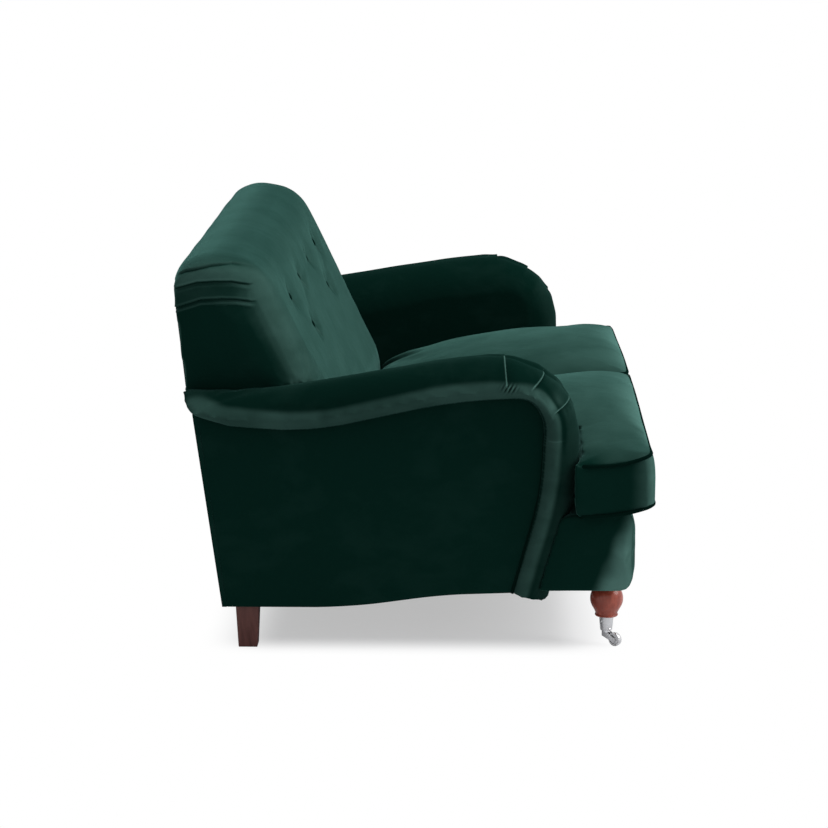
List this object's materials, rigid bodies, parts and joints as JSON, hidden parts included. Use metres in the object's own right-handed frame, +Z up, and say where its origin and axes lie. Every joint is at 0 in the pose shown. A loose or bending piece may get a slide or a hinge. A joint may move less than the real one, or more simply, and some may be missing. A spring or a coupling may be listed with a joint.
{
  "type": "english roll arm sofa",
  "caption": "Two-seat sofa with low rolled arms, a buttoned back, loose T-shaped seat cushions, turned front legs on castors and square rear legs.",
  "frame": {"origin": "on the floor, under the middle of the sofa's overall box", "axes": "+X to the right as seen from the front, +Y to the rear, +Z up; the front faces -Y"},
  "size_m": [1.63, 1.0075, 0.8231],
  "materials": {
    "green_velvet": "matte",
    "velvet_trim": "matte",
    "frame_wood": "matte",
    "mahogany": "gloss",
    "dark_wood": "satin",
    "castor_chrome": "gloss",
    "spring_steel": "satin",
    "webbing": "matte",
    "platform_cloth": "matte",
    "dust_cloth": "matte"
  },
  "bodies": {
    "sofa": {"arm_roll_left": "green_velvet", "arm_roll_right": "green_velvet", "inside_arm_left": "green_velvet", "inside_arm_right": "green_velvet", "outside_arm_left": "green_velvet", "outside_arm_right": "green_velvet", "inside_back": "green_velvet", "outside_back": "green_velvet", "front_border": "green_velvet", "arm_piping_left": "velvet_trim", "arm_piping_right": "velvet_trim", "back_buttons": "velvet_trim", "back_post_left": "frame_wood", "back_post_right": "frame_wood", "back_top_rail": "frame_wood", "back_lower_rail": "frame_wood", "back_centre_stay": "frame_wood", "front_rail": "frame_wood", "rear_rail": "frame_wood", "seat_cross_rail": "frame_wood", "side_rail_left": "frame_wood", "side_rail_right": "frame_wood", "arm_stump_left": "frame_wood", "arm_stump_right": "frame_wood", "arm_top_rail_left": "frame_wood", "arm_top_rail_right": "frame_wood", "corner_blocks": "frame_wood", "front_leg_left": "mahogany", "front_leg_right": "mahogany", "rear_leg_left": "dark_wood", "rear_leg_right": "dark_wood", "castor_cup_left": "castor_chrome", "castor_cup_right": "castor_chrome", "castor_screws": "castor_chrome", "seat_springs": "spring_steel", "spring_clips": "spring_steel", "leg_bolts": "spring_steel", "back_webbing": "webbing", "seat_deck": "platform_cloth", "dust_cover": "dust_cloth"},
    "swivel_left": {"castor_horn_left": "castor_chrome", "castor_axle_left": "castor_chrome"},
    "wheel_left": {"castor_wheel_left": "castor_chrome"},
    "cushion_left": {"seat_cushion_left": "green_velvet", "cushion_piping_left": "velvet_trim"},
    "swivel_right": {"castor_horn_right": "castor_chrome", "castor_axle_right": "castor_chrome"},
    "wheel_right": {"castor_wheel_right": "castor_chrome"},
    "cushion_right": {"seat_cushion_right": "green_velvet", "cushion_piping_right": "velvet_trim"}
  },
  "joints": [
    {"name": "castor_swivel_left", "type": "hinge", "parent": "sofa", "child": "swivel_left", "pos_m": [-0.7, -0.405, 0.031], "axis": [0, 0, 1], "continuous": true},
    {"name": "castor_roll_left", "type": "hinge", "parent": "swivel_left", "child": "wheel_left", "pos_m": [-0.71416, -0.42312, 0.0145], "axis": [0.788, -0.6157, 0], "continuous": true},
    {"name": "cushion_lift_left", "type": "slide", "parent": "sofa", "child": "cushion_left", "axis": [0, 0, 1], "range_m": [0, 0.25]},
    {"name": "castor_swivel_right", "type": "hinge", "parent": "sofa", "child": "swivel_right", "pos_m": [0.7, -0.405, 0.031], "axis": [0, 0, 1], "continuous": true},
    {"name": "castor_roll_right", "type": "hinge", "parent": "swivel_right", "child": "wheel_right", "pos_m": [0.71416, -0.42312, 0.0145], "axis": [0.788, 0.6157, 0], "continuous": true},
    {"name": "cushion_lift_right", "type": "slide", "parent": "sofa", "child": "cushion_right", "axis": [0, 0, 1], "range_m": [0, 0.25]}
  ]
}
